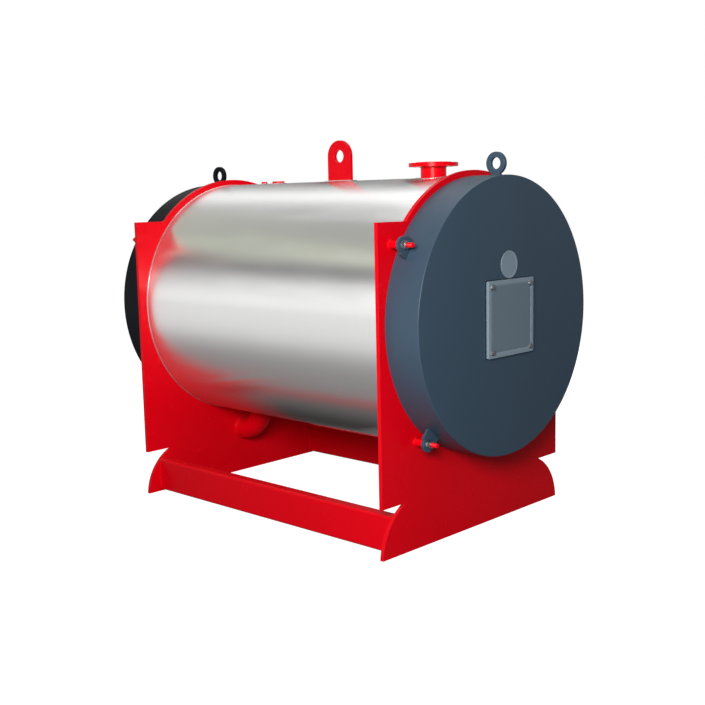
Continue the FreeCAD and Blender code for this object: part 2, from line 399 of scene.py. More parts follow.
    def cut_rings(self, start: Vector, axis: Vector, gaps: Sequence[float]) -> None:
        """Cut the piece right through at distances along an axis.

        Args:
            start: point that the distances are measured from.
            axis: unit direction.
            gaps: the distances.
        """
        for gap in gaps:
            bpy.ops.mesh.select_all(action="SELECT")
            bpy.ops.mesh.bisect(plane_co=start + axis * gap, plane_no=axis)

    def modify(self, kind: str, **settings: object) -> None:
        """Add a modifier and apply it.

        Args:
            kind: type of the modifier.
            settings: its settings.
        """
        self.activate()
        modifier = self.piece.modifiers.new(kind.lower(), kind)
        for key, value in settings.items():
            setattr(modifier, key, value)
        bpy.ops.object.modifier_apply(modifier=modifier.name)

    def cut_with(self, tools: Sequence["Bench"], operation: str = "DIFFERENCE") -> None:
        """Cut the piece with other closed pieces, which are used up.

        Args:
            tools: the cutting pieces.
            operation: DIFFERENCE, INTERSECT or UNION.
        """
        for tool in tools:
            self.modify("BOOLEAN", object=tool.piece, operation=operation, solver="EXACT")
            bpy.data.objects.remove(tool.piece)

    def knit(self) -> None:
        """Merge the doubled corners that a cut leaves, so that a rounding can follow it."""
        self.edit()
        bpy.ops.mesh.select_all(action="SELECT")
        bpy.ops.mesh.remove_doubles(threshold=MERGE)
        self.done()

    def join(self, others: Sequence["Bench"]) -> None:
        """Join other pieces into this one.

        Args:
            others: the pieces, which are used up.
        """
        self.activate()
        for other in others:
            other.piece.select_set(True)
        bpy.ops.object.join()

    def soften(self, width: float, segments: int = 2, angle: float = 30) -> None:
        """Round off every edge sharper than an angle.

        Args:
            width: width of the rounding.
            segments: its steps.
            angle: smallest angle that counts as an edge, in degrees.
        """
        self.modify("BEVEL", width=width, segments=segments, limit_method="ANGLE",
                    angle_limit=math.radians(angle), use_clamp_overlap=True,
                    miter_outer="MITER_ARC")

    def smooth(self, angle: float = 32) -> None:
        """Shade the piece smooth, but keep flat faces flat.

        Args:
            angle: smallest angle that stays sharp, in degrees.
        """
        self.activate()
        bpy.ops.object.shade_smooth_by_angle(angle=math.radians(angle))
        self.modify("WEIGHTED_NORMAL", mode="FACE_AREA", weight=60, keep_sharp=True)

    def right_side_out(self) -> None:
        """Make every normal point outwards."""
        self.edit()
        bpy.ops.mesh.select_all(action="SELECT")
        bpy.ops.mesh.normals_make_consistent(inside=False)
        self.done()

    def finish(self, finish: "Finish", replaces: Sequence[str] = ()) -> bpy.types.Object:
        """Dress the piece and hand it to the frame.

        Args:
            finish: the finish that it gets.
            replaces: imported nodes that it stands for.

        Returns:
            The finished piece.
        """
        self.clear()
        self.piece.data.materials.clear()
        self.piece.data.materials.append(finish.material())
        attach(self.piece, "root")
        if replaces:
            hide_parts(*replaces)
        LOG.info("%s: %d faces", self.piece.name, len(self.piece.data.polygons))
        return self.piece


def refine(node: str, name: str, finish: "Finish", edge: float = 0.0, segments: int = 2,
           angle: float = 30) -> None:
    """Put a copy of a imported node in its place, with its edges rounded.

    Args:
        node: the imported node.
        name: name of the new piece.
        finish: the finish that it gets.
        edge: width of the rounding, none if left out.
        segments: steps of the rounding.
        angle: smallest angle that stays sharp, in degrees.
    """
    bench = Bench.copy_of_node(node, name)
    if edge:
        bench.soften(edge, segments)
    bench.smooth(angle)
    bench.finish(finish, [node])


def dress_node(node: str, finish: "Finish") -> None:
    """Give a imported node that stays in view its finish.

    Args:
        node: name of the node.
        finish: the finish that it gets.
    """
    data = frame["nodes"][node].data
    if not data.materials:
        data.materials.append(None)
    for index in range(len(data.materials)):
        data.materials[index] = finish.material()
    LOG.info("%s: dressed", node)


# --------------------------------------------------------------------------- node work


class Wiring:
    """Short hand for building one node tree."""

    def __init__(self, tree: bpy.types.NodeTree) -> None:
        self.tree = tree

    def add(self, kind: str, inputs: Optional[dict] = None,
            **settings: object) -> bpy.types.Node:
        """Add a node.

        Args:
            kind: its type.
            inputs: values or output sockets for its inputs, by name or number.
            settings: its own settings.

        Returns:
            The node.
        """
        node = self.tree.nodes.new(kind)
        for key, value in settings.items():
            setattr(node, key, value)
        for key, value in (inputs or {}).items():
            self.feed(node.inputs[key], value)
        return node

    def feed(self, socket: bpy.types.NodeSocket, value: object) -> None:
        """Link an output to an input, or set the input's value."""
        if isinstance(value, bpy.types.NodeSocket):
            self.tree.links.new(value, socket)
        else:
            socket.default_value = value

    def math(self, operation: str, *values: object, clamp: bool = False) -> bpy.types.NodeSocket:
        """Add a math node and return its result.

        Args:
            operation: what it does.
            values: numbers or output sockets for its inputs.
            clamp: whether its result stays between 0 and 1.

        Returns:
            Its result.
        """
        node = self.add("ShaderNodeMath", operation=operation, use_clamp=clamp)
        for socket, value in zip(node.inputs, values):
            self.feed(socket, value)
        return node.outputs[0]

    def mix(self, factor: object, first: object, second: object) -> bpy.types.NodeSocket:
        """Mix two colours and return the result.

        Args:
            factor: share of the second colour.
            first: the first colour.
            second: the second colour.

        Returns:
            The mixed colour.
        """
        node = self.add("ShaderNodeMix", data_type="RGBA")
        for socket, value in zip((node.inputs["Factor"], node.inputs[6], node.inputs[7]),
                                 (factor, first, second)):
            self.feed(socket, value)
        return node.outputs[2]

    def ramp(self, factor: object,
             stops: Sequence[tuple[float, float]]) -> bpy.types.NodeSocket:
        """Add a grey ramp and return its colour.

        Args:
            factor: what drives it.
            stops: place and grey level of each stop.

        Returns:
            The ramp's colour output.
        """
        node = self.add("ShaderNodeValToRGB", {0: factor})
        elements = node.color_ramp.elements
        while len(elements) < len(stops):
            elements.new(0.5)
        for element, (place, level) in zip(elements, stops):
            element.position = place
            element.color = grey(level)
        return node.outputs[0]

    def noise(self, place: object, scale: object, detail: float,
              **others: float) -> bpy.types.NodeSocket:
        """Add a noise texture and return its value."""
        given = {"Vector": place, "Scale": scale, "Detail": detail, **others}
        return self.add("ShaderNodeTexNoise", given).outputs[0]

    def centred(self, value: object, gain: float, middle: object) -> bpy.types.NodeSocket:
        """Turn a noise of about a half into a drift about a middle value."""
        return self.math("MULTIPLY_ADD", self.math("SUBTRACT", value, 0.5), gain, middle)

    def lifted(self, value: object, floor: float, gain: float) -> bpy.types.NodeSocket:
        """Stretch what lies above a floor, and clamp it."""
        return self.math("MULTIPLY", self.math("SUBTRACT", value, floor), gain, clamp=True)

    def bump(self, shader: bpy.types.Node, height: object, distance: float,
             strength: float = 1.0) -> None:
        """Give a shader the bumps of a height."""
        bump = self.add("ShaderNodeBump", {"Height": height, "Distance": distance,
                                           "Strength": strength})
        self.feed(shader.inputs["Normal"], bump.outputs[0])

    def object_place(self, scale: Sequence[float] = (1, 1, 1)) -> bpy.types.NodeSocket:
        """Object coordinates, scaled along each axis.

        Args:
            scale: the scales.

        Returns:
            The scaled coordinates.
        """
        place = self.add("ShaderNodeTexCoord").outputs["Object"]
        mapping = self.add("ShaderNodeMapping", {"Vector": place, "Scale": scale})
        return mapping.outputs[0]


def rgba(colour: Colour, share: float = 1.0) -> tuple[float, float, float, float]:
    """Colour with full cover, darkened to a share of its level."""
    return (*(level * share for level in colour), 1.0)


def grey(level: float) -> tuple[float, float, float, float]:
    """Grey with full cover."""
    return (level, level, level, 1.0)


class Effect:
    """Shader node groups that several finishes share."""

    @staticmethod
    def _group(name: str, inputs: dict[str, float],
               outputs: Sequence[str]) -> tuple[bpy.types.NodeTree, Wiring, object, object]:
        """Start a group with named sockets.

        Args:
            name: its name.
            inputs: default value of each input.
            outputs: name of each output.

        Returns:
            The group, its wiring, its input node and its output node.
        """
        tree = bpy.data.node_groups.new(name, "ShaderNodeTree")
        for key, value in inputs.items():
            socket = tree.interface.new_socket(key, in_out="INPUT",
                                               socket_type="NodeSocketFloat")
            socket.default_value = value
        for key in outputs:
            tree.interface.new_socket(key, in_out="OUTPUT", socket_type="NodeSocketFloat")
        wiring = Wiring(tree)
        return (tree, wiring, wiring.add("NodeGroupInput"), wiring.add("NodeGroupOutput"))

    @classmethod
    @cache
    def edge_wear_and_highlight(cls) -> bpy.types.NodeTree:
        """Mask of rubbed edges and of a painted edge highlight, broken up by noise.

        Returns:
            The group.
        """
        tree, wiring, given, result = cls._group(
            "edge_wear_and_highlight", {"Width": 0.002, "Amount": 0.5}, ["Mask"])
        # Edge mask from the bevelled normal, used both for edge wear and for a painted edge
        # highlight.
        rounded = wiring.add("ShaderNodeBevel", {"Radius": given.outputs["Width"]}, samples=4)
        normal = wiring.add("ShaderNodeNewGeometry").outputs["Normal"]
        both = wiring.add("ShaderNodeVectorMath", {0: rounded.outputs[0], 1: normal},
                          operation="DOT_PRODUCT")
        turned = wiring.math("SUBTRACT", 1.0, both.outputs["Value"], clamp=True)
        noise = wiring.noise(wiring.object_place(), 42.0, 5.0, Roughness=0.65)
        strong = wiring.math("MULTIPLY", turned, 6.0, clamp=True)
        worn_and_highlit = wiring.math("MULTIPLY", strong, wiring.lifted(noise, 0.36, 4.5))
        mask = wiring.math("MULTIPLY", worn_and_highlit, given.outputs["Amount"], clamp=True)
        wiring.feed(result.inputs["Mask"], mask)
        return tree

    @classmethod
    @cache
    def paint_skin(cls) -> bpy.types.NodeTree:
        """Sprayed paint: a fine orange peel and slow drifts in tone and gloss.

        Returns:
            The group.
        """
        tree, wiring, given, result = cls._group(
            "paint_skin", {"Peel Scale": 260.0, "Drift": 0.1, "Roughness": 0.35},
            ["Height", "Tone", "Gloss"])
        place = wiring.object_place()
        peel = wiring.noise(place, given.outputs["Peel Scale"], 2.0)
        sag = wiring.noise(place, 11.0, 3.0)
        wiring.feed(result.inputs["Height"], wiring.math("MULTIPLY_ADD", sag, 0.8, peel))
        tone = wiring.centred(wiring.noise(place, 2.1, 4.0), given.outputs["Drift"], 1.0)
        wiring.feed(result.inputs["Tone"], tone)
        gloss = wiring.centred(wiring.noise(place, 17.0, 5.0), 0.16, given.outputs["Roughness"])
        wiring.feed(result.inputs["Gloss"], gloss)
        return tree

    @classmethod
    @cache
    def dust(cls) -> bpy.types.NodeTree:
        """Mask of dust that settles on faces that look up.

        Returns:
            The group.
        """
        tree, wiring, given, result = cls._group("dust", {"Amount": 0.15}, ["Mask"])
        normal = wiring.add("ShaderNodeNewGeometry").outputs["Normal"]
        up = wiring.add("ShaderNodeSeparateXYZ", {0: normal}).outputs["Z"]
        facing = wiring.math("POWER", wiring.math("MAXIMUM", up, 0.0), 2.0)
        patchy = wiring.lifted(wiring.noise(wiring.object_place(), 24.0, 6.0, Roughness=0.7),
                               0.25, 1.8)
        mask = wiring.math("MULTIPLY", wiring.math("MULTIPLY", facing, patchy),
                           given.outputs["Amount"], clamp=True)
        wiring.feed(result.inputs["Mask"], mask)
        return tree

    @classmethod
    @cache
    def rolled_grain(cls) -> bpy.types.NodeTree:
        """Sheet from a rolling mill: fine streaks round the boiler and slow buckles.

        Returns:
            The group.
        """
        tree, wiring, given, result = cls._group(
            "rolled_grain", {"Roughness": 0.2}, ["Streaks", "Buckle", "Gloss"])
        streaks = wiring.noise(wiring.object_place((0.03, 1, 0.03)), 420.0, 2.0)
        wiring.feed(result.inputs["Streaks"], streaks)
        buckle = wiring.noise(wiring.object_place((1, 0.45, 1)), 3.1, 2.0)
        wiring.feed(result.inputs["Buckle"], buckle)
        smear = wiring.noise(wiring.object_place((1, 0.2, 1)), 14.0, 4.0)
        gloss = wiring.centred(smear, 0.1, given.outputs["Roughness"])
        wiring.feed(result.inputs["Gloss"], gloss)
        return tree


# --------------------------------------------------------------------------- finishes


@dataclass(frozen=True)
class Finish:
    """A finish: its slot in the record and the material that it makes once."""

    name: str
    slot: Slot

    def material(self) -> bpy.types.Material:
        """The finish's material, built on first use.

        Returns:
            The material.
        """
        if self.name in bpy.data.materials:
            return bpy.data.materials[self.name]
        material = bpy.data.materials.new(self.name)
        material.use_nodes = True
        material.node_tree.nodes.clear()
        wiring = Wiring(material.node_tree)
        shader = wiring.add("ShaderNodeBsdfPrincipled")
        out = wiring.add("ShaderNodeOutputMaterial")
        wiring.feed(out.inputs["Surface"], shader.outputs[0])
        self.wire(wiring, shader)
        return material

    def wire(self, wiring: Wiring, shader: bpy.types.Node) -> None:
        """Wire up the shader.

        Args:
            wiring: the material's node tree.
            shader: its Principled shader.
        """
        raise NotImplementedError


@dataclass(frozen=True)
class Paint(Finish):
    """Sprayed paint on steel, with worn edges that also carry a painted highlight, and a little
    dust.
    """

    colour: Colour
    worn_and_highlit: Colour
    roughness: float
    specular: float
    wear_and_highlight: float
    dusty: float
    drift: float = 0.12
    peel: float = 0.06 * MM

    def wire(self, wiring: Wiring, shader: bpy.types.Node) -> None:
        """Colour with drift, edge wear with a painted edge highlight, and dust; orange peel as
        bump.

        Args:
            wiring: the material's node tree.
            shader: its Principled shader.
        """
        skin = wiring.add("ShaderNodeGroup", node_tree=Effect.paint_skin())
        skin.inputs["Drift"].default_value = self.drift
        skin.inputs["Roughness"].default_value = self.roughness
        wear_and_highlight = wiring.add("ShaderNodeGroup", node_tree=Effect.edge_wear_and_highlight())
        wear_and_highlight.inputs["Amount"].default_value = self.wear_and_highlight
        dust = wiring.add("ShaderNodeGroup", node_tree=Effect.dust())
        dust.inputs["Amount"].default_value = self.dusty
        toned = wiring.add("ShaderNodeVectorMath", {0: self.colour,
                                                    "Scale": skin.outputs["Tone"]},
                           operation="SCALE")
        # Edges lightened towards the second colour: rubbed paint and a painted edge highlight.
        rubbed_and_highlit = wiring.mix(wear_and_highlight.outputs["Mask"], toned.outputs[0], rgba(self.worn_and_highlit))
        dusted = wiring.mix(dust.outputs["Mask"], rubbed_and_highlit, rgba(DUST))
        wiring.feed(shader.inputs["Base Color"], dusted)
        rough = wiring.math("MULTIPLY_ADD", dust.outputs["Mask"], 0.4, skin.outputs["Gloss"])
        wiring.feed(shader.inputs["Roughness"], rough)
        shader.inputs["Specular IOR Level"].default_value = self.specular
        wiring.bump(shader, skin.outputs["Height"], self.peel)


@dataclass(frozen=True)
class RolledSteel(Finish):
    """Bright rolled stainless sheet."""

    colour: Colour
    roughness: float = 0.22
    buckle: float = 0.0007
    anisotropy: float = 0.96
    metallic: float = 0.93

    def wire(self, wiring: Wiring, shader: bpy.types.Node) -> None:
        """Metal with streaks round the boiler, which smear its reflections.

        Args:
            wiring: the material's node tree.
            shader: its Principled shader.
        """
        grain = wiring.add("ShaderNodeGroup", node_tree=Effect.rolled_grain())
        grain.inputs["Roughness"].default_value = self.roughness
        base = wiring.mix(grain.outputs["Streaks"], rgba(self.colour), rgba(self.colour, 0.94))
        wiring.feed(shader.inputs["Base Color"], base)
        wiring.feed(shader.inputs["Roughness"], grain.outputs["Gloss"])
        shader.inputs["Metallic"].default_value = self.metallic
        shader.inputs["Anisotropic"].default_value = self.anisotropy
        along = wiring.add("ShaderNodeCombineXYZ", {"Y": 1.0})
        wiring.feed(shader.inputs["Tangent"], along.outputs[0])
        wiring.bump(shader, grain.outputs["Buckle"], self.buckle)


@dataclass(frozen=True)
class PlatedSteel(Finish):
    """Zinc plated hardware with a slight mottle."""

    colour: Colour
    roughness: float = 0.3

    def wire(self, wiring: Wiring, shader: bpy.types.Node) -> None:
        """Metal whose tone and gloss vary a little.

        Args:
            wiring: the material's node tree.
            shader: its Principled shader.
        """
        mottle = wiring.noise(wiring.object_place(), 130.0, 5.0)
        base = wiring.mix(mottle, rgba(self.colour), rgba(self.colour, 0.7))
        wiring.feed(shader.inputs["Base Color"], base)
        rough = wiring.math("MULTIPLY_ADD", mottle, 0.2, self.roughness - 0.1)
        wiring.feed(shader.inputs["Roughness"], rough)
        shader.inputs["Metallic"].default_value = 1.0
        wiring.bump(shader, mottle, 0.05 * MM)


@dataclass(frozen=True)
class Fibre(Finish):
    """Ceramic fibre that lines the doors."""

    colour: Colour

    def wire(self, wiring: Wiring, shader: bpy.types.Node) -> None:
        """Matt, with a felted surface.

        Args:
            wiring: the material's node tree.
            shader: its Principled shader.
        """
        felt = wiring.noise(wiring.object_place(), 310.0, 8.0, Distortion=1.2)
        base = wiring.mix(felt, rgba(self.colour), rgba(self.colour, 0.8))
        wiring.feed(shader.inputs["Base Color"], base)
        shader.inputs["Roughness"].default_value = 0.95
        wiring.bump(shader, felt, MM, strength=0.7)


# Each paint's second colour is its lighter edge colour: rubbed paint and a painted edge
# highlight.
RED = Paint("red_enamel", Slot.RED_PAINT, (0.72, 0.0004, 0.007), (0.9, 0.1, 0.12),
            roughness=0.25, specular=0.1, wear_and_highlight=0.25, dusty=0.02)
ANTHRACITE = Paint("anthracite_paint", Slot.DOOR_PAINT, (0.037, 0.067, 0.101),
                   (0.12, 0.15, 0.18), roughness=0.42, specular=0.3, wear_and_highlight=0.5, dusty=0.05)
BLACK = Paint("matt_black_paint", Slot.BLACK_PAINT, (0.005, 0.006, 0.009),
              (0.03, 0.035, 0.04), roughness=0.5, specular=0.06, wear_and_highlight=0.4, dusty=0.04)
PLATE_GREY = Paint("cover_grey_paint", Slot.PLATE_GREY, (0.21, 0.27, 0.32),
                   (0.3, 0.35, 0.38), roughness=0.45, specular=0.35, wear_and_highlight=0.7, dusty=0.05)
PANEL_GREY = Paint("panel_grey_paint", Slot.PLATE_GREY, (0.13, 0.178, 0.215),
                   (0.25, 0.3, 0.33), roughness=0.5, specular=0.3, wear_and_highlight=0.5, dusty=0.04)
STAINLESS = RolledSteel("rolled_stainless", Slot.CLADDING, (0.9, 0.9, 0.89))
ZINC = PlatedSteel("zinc_plated_steel", Slot.ZINC, (0.5, 0.52, 0.54))
FIBRE = Fibre("ceramic_fibre", Slot.INSULATION, (0.78, 0.76, 0.7))


# --------------------------------------------------------------------------- studio


@dataclass
class Studio:
    """Camera, floor, lights and surroundings."""

    camera_place: tuple[float, float, float] = (-3.7275, -3.6676, 1.4739)
    yaw: float = 46.288
    pitch: float = -8.279
    roll: float = -1.261
    lens: float = 54.417
    sensor: float = 36.0
    floor_reach: float = 60.0
    shadow_pool_reach: float = 5.0

    def camera(self) -> None:
        """Set up the camera at standing height, off the burner end's left."""
        data = bpy.data.cameras.new("camera")
        data.lens = self.lens
        data.sensor_width = self.sensor
        data.sensor_fit = "HORIZONTAL"
        data.clip_end = 200
        eye = bpy.data.objects.new("camera", data)
        bpy.context.scene.collection.objects.link(eye)
        yaw, pitch, roll = (math.radians(a) for a in (self.yaw, self.pitch, self.roll))
        ahead = Vector((math.sin(yaw) * math.cos(pitch), math.cos(yaw) * math.cos(pitch),
                        math.sin(pitch)))
        level = Vector((math.cos(yaw), -math.sin(yaw), 0))
        upright = level.cross(ahead)
        right = level * math.cos(roll) + upright * math.sin(roll)
        up = upright * math.cos(roll) - level * math.sin(roll)
        turn = Matrix((right, up, -ahead)).transposed()
        eye.matrix_world = Matrix.LocRotScale(Vector(self.camera_place), turn, None)
        bpy.context.scene.camera = eye

    def floor(self) -> None:
        """Floor that gives off a pale light, and in reflections shows a painted shadow pool
        instead.

        The pool is the boiler's painted shadow on the floor: it darkens towards the boiler's
        middle plane, and painted shade darkens it further off the burner end's right.
        """
        Bench.clear()
        bpy.ops.mesh.primitive_plane_add(size=2 * self.floor_reach, location=(0, 0, 0))
        plane = bpy.context.active_object
        plane.name = "studio_floor"
        material = bpy.data.materials.new("studio_floor")
        material.use_nodes = True
        shader = material.node_tree.nodes["Principled BSDF"]
        wiring = Wiring(material.node_tree)
        shader.inputs["Roughness"].default_value = 0.9
        shader.inputs["Specular IOR Level"].default_value = 0.0
        path = wiring.add("ShaderNodeLightPath")
        seen, mirrored = path.outputs["Is Camera Ray"], path.outputs["Is Glossy Ray"]
        base = wiring.mix(mirrored, wiring.mix(seen, grey(0.2), grey(0.42)), grey(0))
        wiring.feed(shader.inputs["Base Color"], base)
        place = wiring.add("ShaderNodeTexCoord").outputs["Object"]
        reach = wiring.add("ShaderNodeVectorMath", {0: place}, operation="LENGTH")
        where = wiring.add("ShaderNodeSeparateXYZ", {0: place})
        beside = wiring.math("ABSOLUTE", where.outputs["X"])
        part = wiring.math("DIVIDE", beside, self.shadow_pool_reach, clamp=True)
        across = wiring.math("SUBTRACT", where.outputs["X"], where.outputs["Y"])
        bearing = wiring.math("DIVIDE", across, reach.outputs["Value"])
        # Painted shade, seen only in reflections, off the burner end's right.
        shade = wiring.lifted(bearing, 0.3, 1.2)
        # Painted shadow of the boiler on the floor, seen only in reflections: darker towards the
        # boiler's middle plane.
        painted_shadow_pool = wiring.ramp(part, ((0.0, 0.02), (0.04, 0.05), (0.08, 0.11), (0.12, 0.2),
                                  (0.16, 0.24), (0.21, 0.26), (0.26, 0.32), (0.33, 0.47),
                                  (0.43, 0.7), (0.6, 0.8), (1.0, 0.83)))
        painted_shadow_pool = wiring.mix(shade, painted_shadow_pool, grey(0.16))
        lift = wiring.mix(seen, wiring.mix(mirrored, grey(0), painted_shadow_pool), grey(0.93))
        wiring.feed(shader.inputs["Emission Color"], lift)
        shader.inputs["Emission Strength"].default_value = 1.0
        plane.data.materials.append(material)

    def surroundings(self) -> None:
        """Banded studio walls in reflections, and soft even light for the rest."""
        world = bpy.data.worlds.new("studio")
        bpy.context.scene.world = world
        world.use_nodes = True
        world.node_tree.nodes.clear()
        wiring = Wiring(world.node_tree)
        direction = wiring.add("ShaderNodeTexCoord").outputs["Generated"]
        parts = wiring.add("ShaderNodeSeparateXYZ", {0: direction})
        height = parts.outputs["Z"]
        walls = wiring.ramp(height, ((0.0, 0.9), (0.06, 0.94), (0.12, 0.84), (0.18, 0.68),
                                     (0.26, 0.5), (0.32, 0.42), (0.36, 0.24), (0.4, 0.14),
                                     (0.46, 0.16), (0.52, 0.42), (0.56, 0.74), (0.62, 0.86),
                                     (0.64, 0.18), (0.7, 0.24), (0.76, 0.38), (1.0, 0.7)))
        window = wiring.ramp(height, ((0.5, 0.0), (0.56, 1.0), (0.62, 1.0), (0.64, 0.0)))
        walls = wiring.mix(window, walls, (0.78, 0.82, 0.64, 1))
        east = parts.outputs["X"]
        side = wiring.lifted(east, 0.08, 5.0)
        panel = wiring.ramp(east, ((0.1, 0.46), (0.2, 0.6), (0.27, 0.84), (0.34, 1.2),
                                   (0.41, 1.15), (0.48, 0.68), (0.56, 0.36), (0.64, 0.16),
                                   (0.74, 0.24), (1.0, 0.85)))
        seen = wiring.mix(side, walls, panel)
        light = wiring.add("ShaderNodeLightPath")
        soft = wiring.mix(light.outputs["Is Glossy Ray"], (0.19, 0.195, 0.21, 1), seen)
        shown = wiring.mix(light.outputs["Is Camera Ray"], soft, grey(1))
        background = wiring.add("ShaderNodeBackground", {"Color": shown, "Strength": 1.0})
        out = wiring.add("ShaderNodeOutputWorld")
        wiring.feed(out.inputs["Surface"], background.outputs[0])

    def lamp(self, name: str, place: Vector, target: Vector, size: tuple[float, float],
             power: float, mirrored: bool = True) -> None:
        """Hang one soft box.

        Args:
            name: its name.
            place: where it hangs.
            target: what it points at.
            size: its width and height.
            power: its power in watts.
            mirrored: whether it shows in reflections.
        """
        data = bpy.data.lights.new(name, "AREA")
        data.shape = "RECTANGLE"
        data.size, data.size_y = size
        data.energy = power
        lamp = bpy.data.objects.new(name, data)
        lamp.location = place
        lamp.rotation_euler = (place - target).to_track_quat("Z", "Y").to_euler()
        lamp.visible_camera = False
        lamp.visible_glossy = mirrored
        bpy.context.scene.collection.objects.link(lamp)

    def build(self) -> None:
        """Set up the whole studio."""
        bpy.context.scene.view_settings.view_transform = "Standard"
        self.camera()
        self.floor()
        self.surroundings()
        self.lamp("key_box", Vector((-3.75, -2.85, 2.1)), midplane(-0.2, 0.9), (1.6, 1.0), 214)
        self.lamp("fill_box", Vector((4.4, 3.3, 2.6)), midplane(0.2, 0.8), (2.4, 1.6), 150,
                  mirrored=False)
        self.lamp("top_box", Vector((0.6, 0, 4.6)), midplane(0, 0.9), (2.0, 4.0), 50)


# --------------------------------------------------------------------------- welds and fasteners


@dataclass
class WeldShop:
    """Weld beads with the ripple that a torch leaves."""

    leg: float = 4 * MM
    pitch: float = 4 * MM
    ripple: float = 0.45 * MM

    def run(self, name: str, start: Vector, end: Vector) -> Bench:
        """Straight bead between two points.

        Args:
            name: name of the piece.
            start: middle of one end.
            end: middle of the other end.

        Returns:
            The bench with the bead.
        """
        bead = Bench.cylinder(name, self.leg, start, end, sides=12)
        axis = (end - start).normalized()
        steps = 2 * max(2, round((end - start).length / self.pitch / 2))
        bead.edit()
        bead.divide_along(axis, steps - 1)
        step = (end - start).length / steps
        bead.swell(lambda at: round((at - start).dot(axis) / step) % 2 == 1, self.ripple)
        bead.pick_verts(lambda at: min((at - start).dot(axis), (end - at).dot(axis)) < step / 3)
        bpy.ops.mesh.remove_doubles(threshold=self.leg * 0.4)
        bead.done()
        return bead

    @staticmethod
    def gather(beads: Sequence[Bench], finish: Finish) -> None:
        """Join beads into the first of them and dress it.

        Args:
            beads: the beads.
            finish: the finish that they get.
        """
        first, *rest = beads
        first.join(rest)
        first.smooth(60)
        first.finish(finish)

    def ring(self, name: str, centre: Vector, axis: Vector, radius: float,
             leg: Optional[float] = None) -> Bench:
        """Round bead.

        Args:
            name: name of the piece.
            centre: centre of the bead.
            axis: unit axis of the bead.
            radius: radius of its middle line.
            leg: radius of its section, the shop's own if left out.

        Returns:
            The bench with the bead.
        """
        steps = 2 * max(8, round(math.pi * radius / self.pitch))
        bead = Bench.torus(name, centre, axis, radius, leg or self.leg, steps, 8)
        side = axis.orthogonal().normalized()
        across = axis.cross(side)
        turn = 2 * math.pi / steps
        first = bead.piece.data.vertices[0].co - centre
        offset = math.atan2(first.dot(across), first.dot(side))

        def on_ripple(at: Vector) -> bool:
            """Whether a vertex lies on every second step round the bead."""
            angle = math.atan2((at - centre).dot(across), (at - centre).dot(side)) - offset
            return round(angle / turn) % 2 == 1

        bead.edit()
        bead.swell(on_ripple, self.ripple)
        bead.done()
        return bead


@dataclass
class HexHead:
    """Chamfered hexagon, with a washer below it."""

    flats: float
    height: float
    washer_radius: float = 0.0
    washer_thickness: float = 0.0
    bore: float = 0.0
    play: float = 0.6 * MM
    chamfer: float = 0.09

    def build(self, name: str, seat: Vector, out: Vector) -> Bench:
        """Model the head and its washer.

        Args:
            name: name of the piece.
            seat: centre of the surface that it sits on.
            out: unit direction that it stands out in.

        Returns:
            The bench with the piece.
        """
        base = seat + out * self.washer_thickness
        top = base + out * self.height
        corner = self.flats / math.sqrt(3)
        head = Bench.cylinder(name, corner, base, top, sides=6)
        cone = Bench.cylinder(name + "_cone", corner * 1.005, base - out * MM, top, sides=48)
        cone.edit()
        cone.pick_end(top, out)
        cone.bevel(self.flats * self.chamfer, 1)
        cone.done()
        head.cut_with([cone], "INTERSECT")
        head.knit()
        parts = []
        if self.washer_thickness:
            parts.append(Bench.cylinder(name + "_washer", self.washer_radius, seat, base,
                                        sides=48))
        if self.bore:
            for part, play in zip([head] + parts, (0.0, self.play)):
                part.cut_with([Bench.cylinder("drill", self.bore + play, seat - out * MM,
                                              top + out * MM, sides=32)])
        head.join(parts)
        head.soften(0.35 * MM, 1, 40)
        head.smooth(35)
        return head


@dataclass
class ThreadedStud:
    """Stud with a thread, on a plain boss that is welded to the plate."""

    boss_radius: float = 17 * MM
    boss_length: float = 42 * MM
    radius: float = 10 * MM
    length: float = 117 * MM
    pitch: float = 2.5 * MM
    depth: float = 0.9 * MM

    def build(self, name: str, foot: Vector, out: Vector) -> Bench:
        """Model the boss, its weld and the threaded stud.

        Args:
            name: name of the piece.
            foot: centre of the boss on the plate.
            out: unit direction that the stud stands out in.

        Returns:
            The bench with the stud.
        """
        shoulder = foot + out * self.boss_length
        tip = foot + out * self.length
        boss = Bench.cylinder(name, self.boss_radius, foot, shoulder, sides=48)
        boss.edit()
        boss.pick_end(shoulder, out)
        boss.bevel(2 * MM, 3)
        boss.done()
        thread = Bench.cylinder(name + "_thread", self.radius, shoulder - out * self.pitch,
                                tip, sides=28)
        run = self.length - self.boss_length + self.pitch
        flanks = 2 * round(run / self.pitch)
        thread.edit()
        thread.divide_along(out, flanks - 1)

        def in_root(at: Vector) -> bool:
            """Whether a vertex lies in the root of a turn, or at one of the ends."""
            count = round((tip - at).dot(out) * flanks / run)
            return count in (0, flanks) or count % 2 == 1

        thread.pick_verts(in_root)
        centre = (foot + tip) / 2
        squeeze = 1 - self.depth / self.radius
        scale = [squeeze if abs(part) < 0.5 else 1.0 for part in out]
        bpy.ops.transform.resize(value=scale, center_override=centre)
        thread.done()
        weld = WeldShop().ring(name + "_weld", foot, out, self.boss_radius, 3 * MM)
        boss.join([thread, weld])
        boss.smooth(40)
        return boss


# --------------------------------------------------------------------------- sub-assemblies


